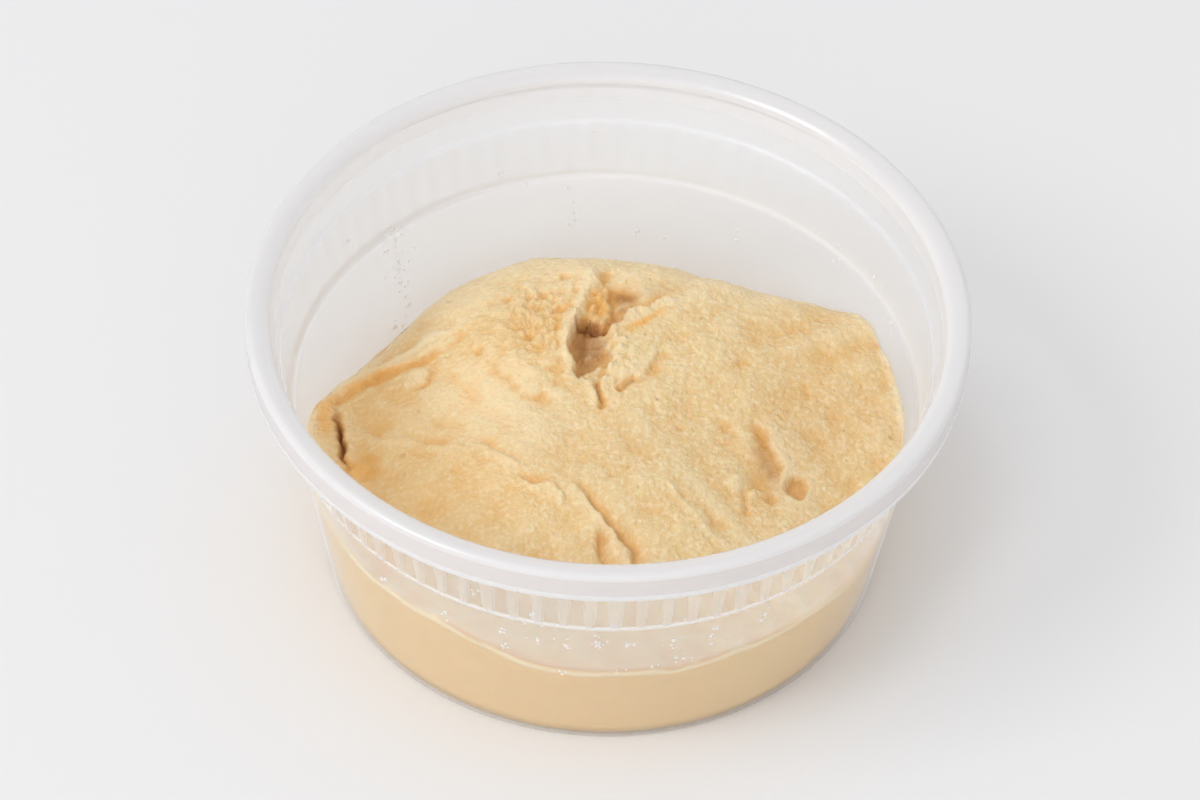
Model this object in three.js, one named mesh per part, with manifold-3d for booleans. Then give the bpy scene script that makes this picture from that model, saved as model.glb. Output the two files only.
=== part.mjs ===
// Hummus in a round, translucent deli tub, open at the top.
// Millimetres, +Z up. The origin is at the middle of the tub's foot ring, on the surface it stands on.
import * as THREE from 'three';
import { mergeVertices } from 'three/addons/utils/BufferGeometryUtils.js';
import Module from 'manifold-3d';

const wasm = await Module();
wasm.setup();

// ---------------------------------------------------------------- driving dimensions

const RIM_DIAMETER = 117; // over the skirt of the rim
const TUB_HEIGHT = 52.2;
const BASE_DIAMETER = 91.5; // where the wall springs from the foot
const LEDGE_DIAMETER = 103.3; // outside, at the stacking ledge
const LEDGE_HEIGHT = 32.4;
const STEP_HEIGHT = 42.5; // outside, where the wall widens to seat a lid
const WALL = 0.8;
const FLOOR_TOP = 1.3;
const FLOOR_UNDERSIDE = 0.6;
const FOOT_WIDTH = 2.6;
const SKIRT_DEPTH = 5.8;

const RIB_COUNT = 80;
const RIB_PHASE = 3; // degrees, from +X
const RIB_TOP_WIDTH = 2.2;
const RIB_FOOT_WIDTH = 1.3;

const TUB_SIDES = 80;
const FOOD_SIDES = 100;
const FOOD_RINGS = 28;
const RING_CROWDING = 1.15; // over 1 crowds the rings towards the crater
const GAP = 0.3; // hummus to tub

const RIM_R = RIM_DIAMETER / 2;
const BASE_R = BASE_DIAMETER / 2;
const LEDGE_R = LEDGE_DIAMETER / 2;
const DEG = Math.PI / 180;

// ---------------------------------------------------------------- solids from geometries

function merged(geometry) {
  const bare = geometry.clone();
  bare.deleteAttribute('normal');
  bare.deleteAttribute('uv');
  return mergeVertices(bare, 1e-4);
}

function toSolid(geometry) {
  const { attributes, index } = merged(geometry);
  const vertProperties = new Float32Array(attributes.position.array);
  const triVerts = new Uint32Array(index.array);
  return new wasm.Manifold(new wasm.Mesh({ numProp: 3, vertProperties, triVerts }));
}

function toGeometry(solid) {
  const { vertProperties, triVerts } = solid.getMesh();
  const geometry = new THREE.BufferGeometry();
  geometry.setAttribute('position', new THREE.BufferAttribute(vertProperties, 3));
  geometry.setIndex(new THREE.BufferAttribute(triVerts, 1));
  return geometry;
}

// A lathe turns round Y, so its profile of (radius, height) is stood up along Z.
function turned(profile, sides) {
  const points = profile.map(([radius, height]) => new THREE.Vector2(radius, height));
  return new THREE.LatheGeometry(points, sides).rotateX(Math.PI / 2);
}

// ---------------------------------------------------------------- tub

// The inner face as (radius, height) from the floor's edge to the rim's inner edge.
const INNER_FACE = [
  [BASE_R - 1.9, FLOOR_TOP],
  [BASE_R - 1.0, FLOOR_TOP + 0.4],
  [BASE_R - 0.65, FLOOR_TOP + 1.2],
  [LEDGE_R - WALL - 0.5, LEDGE_HEIGHT - 0.2],
  [LEDGE_R - WALL, LEDGE_HEIGHT + 0.4],
  [LEDGE_R + 0.85, STEP_HEIGHT + 0.8],
  [LEDGE_R + 1.4, STEP_HEIGHT + 1.2],
  [RIM_R - 3.9, TUB_HEIGHT - 0.75],
];

const OUTER_FACE = [
  [BASE_R - 0.5, 0],
  [BASE_R - 0.1, 0.3],
  [BASE_R + 0.1, 1.0],
  [LEDGE_R - 0.6, LEDGE_HEIGHT - 0.7],
  [LEDGE_R, LEDGE_HEIGHT],
  [LEDGE_R + 1.4, STEP_HEIGHT - 0.8],
  [LEDGE_R + 2.55, STEP_HEIGHT],
  [RIM_R - 3.0, TUB_HEIGHT - 1.1],
  [RIM_R - 1.0, TUB_HEIGHT - 1.1],
  [RIM_R - 0.95, TUB_HEIGHT - SKIRT_DEPTH],
  [RIM_R - 0.2, TUB_HEIGHT - SKIRT_DEPTH],
  [RIM_R, TUB_HEIGHT - 1.0],
  [RIM_R - 0.35, TUB_HEIGHT - 0.25],
  [RIM_R - 1.0, TUB_HEIGHT],
  [RIM_R - 2.0, TUB_HEIGHT],
];

const UNDERSIDE = [
  [0, FLOOR_UNDERSIDE],
  [BASE_R - 2 - FOOT_WIDTH, FLOOR_UNDERSIDE],
  [BASE_R - 1.2 - FOOT_WIDTH, 0],
];

function radiusOn(face, height) {
  for (let i = 1; i < face.length; i += 1) {
    const [r0, z0] = face[i - 1];
    const [r1, z1] = face[i];
    if (height <= z1) return r0 + (r1 - r0) * Math.max(0, (height - z0) / (z1 - z0));
  }
  return face.at(-1)[0];
}

function shell() {
  const inside = [...INNER_FACE].reverse();
  return turned([...UNDERSIDE, ...OUTER_FACE, ...inside, [0, FLOOR_TOP]], TUB_SIDES);
}

// One gusset of the stacking band: it fills the corner under the lid step and tapers down to the ledge.
function rib() {
  const root = 0.3; // sunk into the wall
  const top = { z: STEP_HEIGHT - 0.1, width: RIB_TOP_WIDTH, reach: LEDGE_R + 2.25 };
  const foot = { z: LEDGE_HEIGHT + 0.9, width: RIB_FOOT_WIDTH, reach: LEDGE_R + 0.5 };
  const bar = new THREE.BoxGeometry(1, 1, 1);
  const at = bar.attributes.position;
  for (let i = 0; i < at.count; i += 1) {
    const end = at.getZ(i) > 0 ? top : foot;
    const inner = radiusOn(OUTER_FACE.slice(4, 7), Math.min(end.z, STEP_HEIGHT - 0.8)) - root;
    at.setXYZ(i, at.getX(i) > 0 ? end.reach : inner, Math.sign(at.getY(i)) * end.width / 2, end.z);
  }
  return bar;
}

function container() {
  let solid = toSolid(shell());
  const one = rib();
  for (let i = 0; i < RIB_COUNT; i += 1) {
    const turn = (RIB_PHASE + (i * 360) / RIB_COUNT) * DEG;
    solid = solid.add(toSolid(one.clone().rotateZ(turn)));
  }
  return toGeometry(solid);
}

// ---------------------------------------------------------------- hummus: its surface

const smoothstep = (a, b, v) => {
  const t = Math.min(1, Math.max(0, (v - a) / (b - a)));
  return t * t * (3 - 2 * t);
};

function softMin(a, b, reach) {
  const h = Math.min(1, Math.max(0, 0.5 + (0.5 * (b - a)) / reach));
  return b * (1 - h) + a * h - reach * h * (1 - h);
}

// A smooth curve through points of [place, height], read at value.
function through(points, value) {
  const last = points.length - 1;
  const slope = (i) => {
    const [x0, z0] = points[Math.max(0, i - 1)];
    const [x1, z1] = points[Math.min(last, i + 1)];
    return (z1 - z0) / (x1 - x0);
  };
  const at = Math.min(points[last][0], Math.max(points[0][0], value));
  let i = 0;
  while (i < last - 1 && points[i + 1][0] <= at) i += 1;
  const [x0, z0] = points[i];
  const [x1, z1] = points[i + 1];
  const t = (at - x0) / (x1 - x0);
  const leave = t * (1 - t) ** 2 * (x1 - x0) * slope(i) + (1 + 2 * t) * (1 - t) ** 2 * z0;
  const arrive = t * t * (t - 1) * (x1 - x0) * slope(i + 1) + t * t * (3 - 2 * t) * z1;
  return leave + arrive;
}

// The line that the hummus draws on the wall: [azimuth in degrees, height], front and sides.
const SHORELINE = [
  [-300, 24.3], [-292, 16.8], [-210, 16.3], [-190, 20.3], [-174, 22.8], [-158, 23.1], [-145, 22.3],
  [-134, 22.3], [-122, 23], [-112, 20.4], [-103, 18.6], [-88, 17.7], [-72, 17.6], [-58, 18.3],
  [-47, 19], [-33, 17.5], [-22, 18.9], [-8, 21.8], [8, 24.6], [20, 26], [28, 26.4], [35, 25.4], [60, 24.3],
];

// The back of the heap, where it turns down: [x, y, height].
const RIDGE = [
  [-49, 3.1, 21.6], [-43, 9.8, 23.5], [-38, 14.6, 25], [-33, 19.8, 28.1], [-26, 25.1, 31.3],
  [-16, 29.5, 34.1], [-6, 29.8, 34.4], [6, 29.1, 34], [18, 27.5, 32], [30, 25.7, 29.5],
  [40, 24.9, 27.2], [47, 25.8, 27.2],
];
const RIDGE_LINE = RIDGE.map(([x, y]) => [x, y]);
const RIDGE_HEIGHT = RIDGE.map(([x, , z]) => [x, z]);
const FRONT_SLOPE = 0.109; // the mound falls this much a millimetre towards the front
const BACK_SLOPE = 1.3; // and this much behind its ridge
const BACK_LEVEL = 12.3; // of what lies behind the mound, against the back wall
const MOUND_R = 49;

function mound(x, y) {
  const azimuth = Math.atan2(y, x) / DEG;
  const wall = through(SHORELINE, azimuth > 60 ? azimuth - 360 : azimuth);
  const edge = through(RIDGE_LINE, x);
  const crest = through(RIDGE_HEIGHT, x);
  const open = crest - FRONT_SLOPE * (edge - y);
  const reach = Math.min(1, Math.hypot(x, y) / MOUND_R);
  const front = wall + (open - wall) * (1 - reach ** 4);
  const back = crest + 2 - BACK_SLOPE * (y - edge);
  const ridgeTurn = 5 - 4.4 * smoothstep(32, 44, x); // rounded, but not where it meets the wall
  return -softMin(-softMin(front, back, ridgeTurn), -BACK_LEVEL, 4);
}

// Dabs: [x, y, half length, half width, turn in degrees, rise, edge], edge 1 soft and 4 cut sharp.
const DABS = {
  swipe: [-20, 0, 14, 7.5, -38, -1.5, 1],
  left_recess: [-37.5, 3, 8, 5.5, 55, -0.7, 2],
  left_bank: [-47, -1, 9, 2, 100, 0.7, 1],
  left_bump: [-34.5, -4, 4, 2.2, -20, 0.5, 1],
  orange_lump: [-39.7, -9, 1.9, 1.4, 20, 1.0, 2],
  torn_patch: [-13.5, 15, 12, 7, 40, 0.6, 1],
  torn_top: [-16, 19, 5, 3, 60, 0.5, 2],
  crater: [-3.0, 11.8, 4.6, 2.8, 84, -1.9, 2],
  crater_foot: [-1.9, 6.8, 3.2, 2.4, 65, -0.8, 2],
  scoop: [1.8, 21.4, 5.2, 2.8, 66, -1.5, 2],
  under_fold: [5.2, 16.6, 2.9, 1.0, 36, -0.4, 1],
  flap: [4.2, 8.4, 4.4, 3.1, 80, 0.6, 2],
  east_mass: [13, 12, 9, 8, 0, 0.5, 1],
  groove_valley: [24.6, -10.5, 5.5, 2.6, -70, -1.0, 1],
  groove_lump: [23.3, -4.7, 2.2, 1.6, -60, 0.6, 1],
  pit: [31.3, -11.4, 2.2, 1.75, 75, -1.7, 3],
  pocket: [0.2, -27.6, 1.6, 1.2, 80, -0.6, 1],
  front_lobe: [2.9, -28.6, 3.2, 1.5, -62, 0.7, 1],
};

function dab([cx, cy, length, width, turn, rise, edge], x, y) {
  const c = Math.cos(turn * DEG);
  const s = Math.sin(turn * DEG);
  const u = ((x - cx) * c + (y - cy) * s) / length;
  const v = ((y - cy) * c - (x - cx) * s) / width;
  return rise * Math.exp(-((u * u + v * v) ** edge));
}

// Strokes: a line of points, the [rise, fade] just left of it and just right of it, and the width of
// the slope between the two. Unlike rises make a step or a fold, and like ones a ridge or a furrow.
const STROKES = {
  left_crack: {
    line: [[-43.6, 5.8], [-43.1, 1.5], [-42.6, -2.5], [-42.0, -6.6], [-41.4, -8.4]],
    left: [-0.6, 1.0], right: [-1.8, 1.2], width: 0.7,
  },
  left_roll: {
    line: [[-47, 5.2], [-45, 7.2], [-41, 9.9], [-37.5, 12.4], [-32, 12.4], [-28, 13.6], [-22, 16.5]],
    left: [0.7, 3.5], right: [-0.3, 1.2], width: 0.8,
  },
  roll_crest: {
    line: [[-45, 9.5], [-38, 13.8], [-30, 16.9], [-20, 17.6]], left: [0.5, 1.2], right: [0.5, 1.6], width: 1,
  },
  recess_foot: {
    line: [[-42, 1], [-36, -4], [-30, -6], [-20, -8.5]], left: [-0.25, 1.8], right: [0.35, 2.0], width: 1,
  },
  torn_edge: {
    line: [[-23, 13], [-20, 10], [-18, 6.5], [-14, 2], [-9.5, 0.3], [-5, 0.4]],
    left: [0.6, 4.0], right: [-0.2, 1.2], width: 0.8,
  },
  crater_lip: {
    line: [[-4.4, 19], [-5.0, 16.5], [-6.2, 12], [-6.3, 9.8], [-5, 8], [-4.9, 4]],
    left: [-1.6, 2.6], right: [1.1, 2.2], width: 0.6,
  },
  tooth: {
    line: [[-1.8, 30], [-2.0, 26], [-3.0, 21], [-4.2, 16.5], [-4.8, 13.5]],
    left: [-0.8, 3.2], right: [1.1, 1.9], width: 1.4,
  },
  tooth_edge: {
    line: [[-0.4, 26], [-0.1, 23], [0.1, 20], [-0.4, 17], [-1.2, 14.6]],
    left: [-0.5, 1.6], right: [0.5, 1.2], width: 0.7,
  },
  crater_east: {
    line: [[-0.6, 17], [0.9, 13], [1.4, 11], [0.2, 9], [1.1, 4]],
    left: [0.5, 1.8], right: [-0.5, 1.2], width: 0.8,
  },
  fold: {
    line: [[-0.6, 13.6], [1.3, 16.6], [3, 18.3], [5.2, 19.8], [7.6, 21.3], [9.4, 22.2], [11.5, 23.2]],
    left: [-1.1, 2.2], right: [0.9, 1.2], width: 0.6,
  },
  groove: {
    line: [[24.6, 0.5], [26.4, -2.6], [28, -5], [28.9, -7.2], [29.3, -9.5], [29, -12.5]],
    left: [0.6, 1.4], right: [-0.8, 3.5], width: 0.8,
  },
  first_crease: {
    line: [[-22, -6.5], [-18, -9.5], [-15, -12], [-11, -15]], left: [-0.35, 2.0], right: [0.4, 1.8], width: 1,
  },
  second_crease: {
    line: [[-16, -15], [-10, -17], [-7, -19.3], [-6.3, -22.5]],
    left: [-0.35, 1.6], right: [0.5, 1.8], width: 0.8,
  },
  main_crease: {
    line: [[-6.5, -15.5], [-2.5, -19.6], [-0.9, -21.8], [1, -24.5], [3.2, -26.3], [4.5, -28.5], [6, -34]],
    left: [-0.6, 1.8], right: [0.85, 2.2], width: 0.8,
  },
  light_ridge: {
    line: [[9, -14], [13, -18], [15.5, -20.5], [18.5, -23.5], [21.5, -26.8]],
    left: [0.3, 1.2], right: [0.8, 1.2], width: 0.8,
  },
};

// How far (x, y) lies from a line of points, with a minus on its right, and how far along, from 0 to 1.
function beside(line, x, y) {
  let best = { far: Infinity };
  line.slice(1).forEach(([x1, y1], i) => {
    const [x0, y0] = line[i];
    const dx = x1 - x0;
    const dy = y1 - y0;
    const t = Math.min(1, Math.max(0, ((x - x0) * dx + (y - y0) * dy) / (dx * dx + dy * dy)));
    const ox = x - x0 - t * dx;
    const oy = y - y0 - t * dy;
    const far = Math.hypot(ox, oy);
    if (far >= Math.abs(best.far)) return;
    best = { far: dx * oy - dy * ox > 0 ? far : -far, along: (i + t) / (line.length - 1) };
  });
  return best;
}

function stroke({ line, left, right, width }, x, y) {
  const { far, along } = beside(line, x, y);
  const ends = smoothstep(0, 0.2, along) * smoothstep(0, 0.2, 1 - along);
  const [onLeft, onRight] = [left, right].map(([rise, fade]) => rise * Math.exp(-((far / fade) ** 2)));
  return ends * (onRight + (onLeft - onRight) * smoothstep(-width, width, far));
}

// Soft unevenness of a spooned dip, from waves that cross at odd angles.
const WAVES = [[0.31, 0.12, 0.24], [-0.17, 0.36, 0.22], [0.52, -0.41, 0.15], [0.73, 0.64, 0.1]];

function heightAt(x, y) {
  let z = mound(x, y);
  Object.values(DABS).forEach((each) => { z += dab(each, x, y); });
  Object.values(STROKES).forEach((each) => { z += stroke(each, x, y); });
  WAVES.forEach(([kx, ky, rise], i) => { z += rise * Math.sin(kx * x + ky * y + i * 2.1); });
  return z;
}

// ---------------------------------------------------------------- hummus: its solid

// The rings of the upper face close in on the crater, where the surface has its finest forms.
const FOCUS = { x: -2, y: 12 };

// A lathe gives the closed body, with its upper face as a flat disc of radius 1 above everything else.
// Each point of the disc then goes down to the surface, and the last ring keeps the gap to the wall.
function hummus() {
  const lid = TUB_HEIGHT * 2;
  const floor = FLOOR_TOP + GAP;
  const side = [floor, floor + 0.5, floor + 2, 8].map((z) => [radiusOn(INNER_FACE, z - GAP) - GAP, z]);
  side[0][0] -= GAP;
  const disc = Array.from({ length: FOOD_RINGS + 1 }, (_, i) => [(1 - i / FOOD_RINGS) ** RING_CROWDING, lid]);
  const body = merged(turned([[0, floor], ...side, ...disc], FOOD_SIDES));
  const at = body.attributes.position;
  for (let i = 0; i < at.count; i += 1) {
    if (at.getZ(i) < TUB_HEIGHT) continue;
    const share = Math.hypot(at.getX(i), at.getY(i));
    const inner = 1 - share * share;
    let radius = LEDGE_R;
    for (let pass = 0; pass < 4; pass += 1) {
      const x = at.getX(i) * radius + FOCUS.x * inner;
      const y = at.getY(i) * radius + FOCUS.y * inner;
      const z = heightAt(x, y);
      if (pass === 3) at.setXYZ(i, x, y, z);
      radius = radiusOn(INNER_FACE, z) - GAP;
    }
  }
  return body;
}

// ---------------------------------------------------------------- the object

function piece(name, geometry, look) {
  const mesh = new THREE.Mesh(geometry, new THREE.MeshStandardMaterial(look));
  mesh.name = name;
  return mesh;
}

const tub = new THREE.Group();
tub.add(piece('container', container(), {
  color: 0xece9e8, roughness: 0.35, metalness: 0, transparent: true, opacity: 0.5,
}));
tub.add(piece('hummus', hummus(), { color: 0xe4c38c, roughness: 0.7, metalness: 0 }));

export default tub;
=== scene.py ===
# %% [markdown]
# # Hummus in its deli tub
#
# A thick chickpea dip, heaped and smeared with a spoon in a round, translucent polypropylene tub.
# Three things make the look: a wall that is milky where air lies behind it and clear where the dip
# wets it, a soft paste with torn, smeared and pitted places, and plain, soft studio light.
#
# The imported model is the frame. It holds the tub and the dip as two plain solids in metres, and the
# pieces below take their places.

from math import atan2, cos, hypot, pi, radians, sin

import bmesh
import bpy
import numpy as np
from mathutils import Matrix, Vector, noise


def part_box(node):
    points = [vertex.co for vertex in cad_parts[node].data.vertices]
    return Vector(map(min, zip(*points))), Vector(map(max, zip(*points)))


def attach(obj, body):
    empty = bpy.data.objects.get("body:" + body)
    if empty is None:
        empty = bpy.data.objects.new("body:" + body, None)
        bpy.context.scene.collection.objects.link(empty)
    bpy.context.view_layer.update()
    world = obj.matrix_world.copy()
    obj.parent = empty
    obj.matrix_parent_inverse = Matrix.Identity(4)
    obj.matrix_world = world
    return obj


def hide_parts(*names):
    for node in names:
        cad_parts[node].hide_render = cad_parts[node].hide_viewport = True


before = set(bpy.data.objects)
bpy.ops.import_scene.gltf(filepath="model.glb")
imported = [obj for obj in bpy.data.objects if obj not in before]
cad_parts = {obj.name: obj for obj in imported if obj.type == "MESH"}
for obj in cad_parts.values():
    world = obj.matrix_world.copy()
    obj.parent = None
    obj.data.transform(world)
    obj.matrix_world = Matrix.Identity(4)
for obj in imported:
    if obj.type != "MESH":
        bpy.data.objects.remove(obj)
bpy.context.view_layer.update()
tub_low, tub_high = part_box("container")
MM = 0.001
RIM_R = (tub_high.x - tub_low.x) / 2 / MM
TUB_HEIGHT = tub_high.z / MM
print(f"tub: {2 * RIM_R:.1f} mm over the rim, {TUB_HEIGHT:.1f} mm high")

# %% [markdown]
# ## Camera
#
# A long lens far away keeps the circles of the tub nearly parallel. The camera looks down at a bit
# over 46 degrees and is rolled by less than 2 degrees, as a hand-held camera is. It aims at the
# middle of its view, so the lens needs no shift.

# %% Camera
LENS = 195  # mm, on a sensor 36 mm wide
NEAREST = 0.05  # m, where the view starts
CAMERA_AT = Vector((0, -0.7342, 0.7945))
CAMERA_AIM = Vector((-0.00093, 0.00975, 0.0208))
CAMERA_ROLL = radians(1.81)


def put_in_scene(name, data):
    made = bpy.data.objects.new(name, data)
    bpy.context.scene.collection.objects.link(made)
    return made


camera = put_in_scene("camera", bpy.data.cameras.new("camera"))
bpy.context.scene.camera = camera
camera.data.lens = LENS
camera.data.clip_start = NEAREST
camera.location = CAMERA_AT
look = (CAMERA_AIM - CAMERA_AT).to_track_quat("-Z", "Y").to_matrix().to_4x4()
camera.rotation_euler = (look @ Matrix.Rotation(CAMERA_ROLL, 4, "Z")).to_euler()
print(f"camera {(CAMERA_AIM - CAMERA_AT).length:.3f} m from its aim")

# %% [markdown]
# ## Colours and nodes
#
# Colours are written as they look on a screen, in sRGB hex. Shaders add up light, so they need
# linear numbers, and one function turns the one into the other. A second one adds a node, sets it
# and links it. A socket that shares its name with others is given by its number, such as _6.


# %% Helpers for materials
def linear(hex_colour):
    """The linear red, green, blue and alpha of an sRGB colour, by the formula of that standard."""
    channels = [int(hex_colour[i : i + 2], 16) / 255 for i in (0, 2, 4)]
    return (*[c / 12.92 if c <= 0.04045 else ((c + 0.055) / 1.055) ** 2.4 for c in channels], 1)


def add(tree, kind, settings=None, **inputs):
    """Adds a node. settings are its properties, and inputs are numbers, or sockets to link from."""
    node = tree.nodes.new("ShaderNode" + kind)
    for name, value in (settings or {}).items():
        setattr(node, name, value)
    for name, value in inputs.items():
        key = int(name[1:]) if name[0] == "_" else name.replace("_", " ")
        if isinstance(value, bpy.types.NodeSocket):
            tree.links.new(value, node.inputs[key])
        else:
            node.inputs[key].default_value = value
    return node


def new_material(name):
    made = bpy.data.materials.new(name)
    made.use_nodes = True
    made.node_tree.nodes.clear()
    return made, made.node_tree


# %% [markdown]
# ## Table and light
#
# The tub stands on a plain table with matt, nearly white paint, which shows soft shadows and hardly
# any reflection. A soft key lamp stands to the left, a wide weak one fills in from the front, and
# the pale room gives the rest, so that the shadow stays light.

# %% Table
table_material, nodes = new_material("painted_table_matt")
paint = add(nodes, "BsdfPrincipled", Base_Color=linear("EEEEEE"), Roughness=0.6, IOR=1.45)
add(nodes, "OutputMaterial", Surface=paint.outputs[0])
TABLE_HALF = 3.0  # m, from the middle to its edge
TABLE_DROP = 0.05 * MM  # the tub's foot stands just clear of it

table_shape = bmesh.new()
bmesh.ops.create_grid(table_shape, x_segments=1, y_segments=1, size=TABLE_HALF)
bmesh.ops.translate(table_shape, verts=table_shape.verts, vec=(0, 0, -TABLE_DROP))
table_mesh = bpy.data.meshes.new("table")
table_shape.to_mesh(table_mesh)
table_shape.free()
table_mesh.materials.append(table_material)
table = put_in_scene("table", table_mesh)
print(f"table: {2 * TABLE_HALF:.0f} m wide")

# %% Light
LAMP_FAR = 2.6  # m
LAMPS = {
    "key": {"towards": (-0.60, -0.32, 0.74), "size": 1.1, "watts": 22},
    "fill": {"towards": (0.0, -0.85, 0.45), "size": 2.0, "watts": 8},
}
ROOM_COLOUR = "F8F8FA"
ROOM_STRENGTH = 0.76

for name, kind in LAMPS.items():
    lamp = put_in_scene(name, bpy.data.lights.new(name, "AREA"))
    lamp.data.size = kind["size"]
    lamp.data.energy = kind["watts"]
    towards = Vector(kind["towards"]).normalized()
    lamp.location = towards * LAMP_FAR
    lamp.rotation_euler = (-towards).to_track_quat("-Z", "Y").to_euler()

room = bpy.data.worlds.new("pale_room")
room.use_nodes = True
background = room.node_tree.nodes["Background"]
background.inputs["Color"].default_value = linear(ROOM_COLOUR)
background.inputs["Strength"].default_value = ROOM_STRENGTH
bpy.context.scene.world = room
bpy.context.scene.view_settings.view_transform = "Standard"
print(f"{len(LAMPS)} lamps, {LAMP_FAR} m away")

# %% [markdown]
# ## The tub's material
#
# Deli tubs are injection moulded in polypropylene (PP) with no pigment. Its tiny crystals scatter
# light, so a thin wall is milky rather than clear. Alpha lets part of the view straight through,
# and subsurface scattering spreads the rest inside the wall. A glass shader would bend the view of
# the dip, which so thin a wall hardly does.
#
# The inner face is hazier than the outer one, since steam from the dip has fogged it. Where the dip
# touches the wall it lies in front of that inner face, so there the wall shows it nearly clear. The
# ribs and the rim hold more plastic and are whiter than the thin wall, and the rim's rolled top is
# the least glossy. That top is a little whiter than the skirt, as painted light for the band of
# light that it catches. The corner of the ledge and the skirt's lower edge are whiter still,
# partly for thicker plastic and partly as painted highlight lines. The inside of the wall's upper
# end is hazier and whiter too: painted light over the shaded gap between the wall and the skirt.


# %% Polypropylene
SLANT_POWER = 9.0  # high, so that only a wall seen nearly edge on gets milkier
EDGE_ON_HAZE = 0.85
PP_IOR = 1.6  # PP has 1.49; some more makes up for the gloss that alpha takes away
MOULD_WAVE = 4 * MM  # the steel of a mould leaves a faint waviness, which softens reflections
MOULD_WAVE_DEPTH = 0.02 * MM
LIGHT_SPREAD = 1.2 * MM  # how far light gets along the inside of the wall


def polypropylene(name, haze, roughness, colour="F6F9FF", gloss=1.0):
    made, tree = new_material(name)
    place = add(tree, "TexCoord").outputs["Object"]
    wave = add(tree, "TexNoise", Vector=place, Scale=1 / MOULD_WAVE, Detail=1.0)
    relief = add(tree, "Bump", Height=wave.outputs[0], Strength=0.25, Distance=MOULD_WAVE_DEPTH)
    # A wall seen edge on is seen through more plastic, so it is milkier there.
    slant = add(tree, "LayerWeight", Blend=0.5).outputs["Facing"]
    slant = add(tree, "Math", {"operation": "POWER"}, _0=slant, _1=SLANT_POWER).outputs[0]
    milky = add(tree, "MapRange", Value=slant, To_Min=haze, To_Max=EDGE_ON_HAZE).outputs[0]
    shader = add(
        tree,
        "BsdfPrincipled",
        Base_Color=linear(colour),
        Roughness=roughness,
        IOR=PP_IOR,
        Specular_IOR_Level=gloss,
        Subsurface_Weight=0.7,
        Subsurface_Radius=(1.0, 1.0, 1.0),
        Subsurface_Scale=LIGHT_SPREAD,
        Alpha=milky,
        Normal=relief.outputs[0],
    )
    add(tree, "OutputMaterial", Surface=shader.outputs[0])
    return made


pp_moulded = polypropylene("polypropylene_moulded", haze=0.16, roughness=0.28)
pp_fogged = polypropylene("polypropylene_fogged", haze=0.3, roughness=0.4)
pp_ribbed = polypropylene("polypropylene_ribbed", haze=0.33, roughness=0.45)
# hazier and whiter: painted light over the shaded gap between the wall and the skirt
pp_upper = polypropylene("polypropylene_upper_wall", haze=0.52, roughness=0.35, colour="F2F3F7")
# the rolled top a little whiter and less pink than the skirt, as painted light for the band it
# catches
pp_rim = polypropylene("polypropylene_rim", haze=0.8, roughness=0.26, colour="EEEDED", gloss=0.6)
pp_skirt = polypropylene("polypropylene_skirt", haze=0.72, roughness=0.25, colour="EEE9E8")
# whiter still: thicker plastic, and a painted highlight line at the ledge's corner and the skirt's
# edge
pp_thick_lit_edge = polypropylene("polypropylene_thick_lit_edge", haze=0.8, roughness=0.3, colour="FAF7F6")
PP_KINDS = (pp_moulded, pp_fogged, pp_ribbed, pp_upper, pp_rim, pp_skirt, pp_thick_lit_edge)
print("PP in", len(PP_KINDS), "thicknesses:", ", ".join(kind.name for kind in PP_KINDS))

# %% [markdown]
# ## The tub's shape
#
# A tub is round, so half of its cross-section is enough: a chain of edges on one side of the axis,
# with its corners rounded by a bevel, that a spin sweeps round. The numbers are the corner's radius
# from the axis, its height and its rounding, all in millimetres.

# %% Tub: cross-section
BASE_R = 45.75  # where the wall springs from the foot
LEDGE_R = 51.65  # outside, at the stacking ledge
LEDGE_HEIGHT = 32.4
STEP_HEIGHT = 42.5  # outside, where the wall widens to seat a lid
WALL = 0.8
FLOOR_TOP = 1.3
FLOOR_UNDERSIDE = 0.6  # the floor stands clear of the table, on a low ring
SKIRT_DEPTH = 5.8  # of the rim's outer face, down from its crest
CORNER_STEPS = 4  # edges in each rounded corner

OUTSIDE = [
    (0, FLOOR_UNDERSIDE, 0),
    (BASE_R - 4.6, FLOOR_UNDERSIDE, 0.2),
    (BASE_R - 3.8, 0, 0.15),
    (BASE_R - 0.05, 0, 0.4),
    (LEDGE_R - 0.6, LEDGE_HEIGHT - 0.7, 0.5),
    (LEDGE_R, LEDGE_HEIGHT, 0.35),
    (LEDGE_R + 1.4, STEP_HEIGHT - 0.8, 0.6),
    (LEDGE_R + 2.55, STEP_HEIGHT, 0.5),
    (RIM_R - 3.0, TUB_HEIGHT - 1.1, 0.7),
    (RIM_R - 1.0, TUB_HEIGHT - 1.1, 0.6),
    (RIM_R - 0.9, TUB_HEIGHT - SKIRT_DEPTH, 0.3),
    (RIM_R - 0.15, TUB_HEIGHT - SKIRT_DEPTH, 0.3),
    (RIM_R, TUB_HEIGHT, 1.0),
]
INSIDE = [
    (RIM_R - 2.0, TUB_HEIGHT, 0.8),
    (RIM_R - 3.9, TUB_HEIGHT - 0.75, 1.0),
    (LEDGE_R + 1.4, STEP_HEIGHT + 1.2, 0.3),
    (LEDGE_R + 0.85, STEP_HEIGHT + 0.8, 0.3),
    (LEDGE_R - WALL, LEDGE_HEIGHT + 0.4, 0.4),
    (LEDGE_R - WALL - 0.5, LEDGE_HEIGHT - 0.2, 0.4),
    (BASE_R - 0.8, FLOOR_TOP, 0.9),
    (0, FLOOR_TOP, 0),
]


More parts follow.
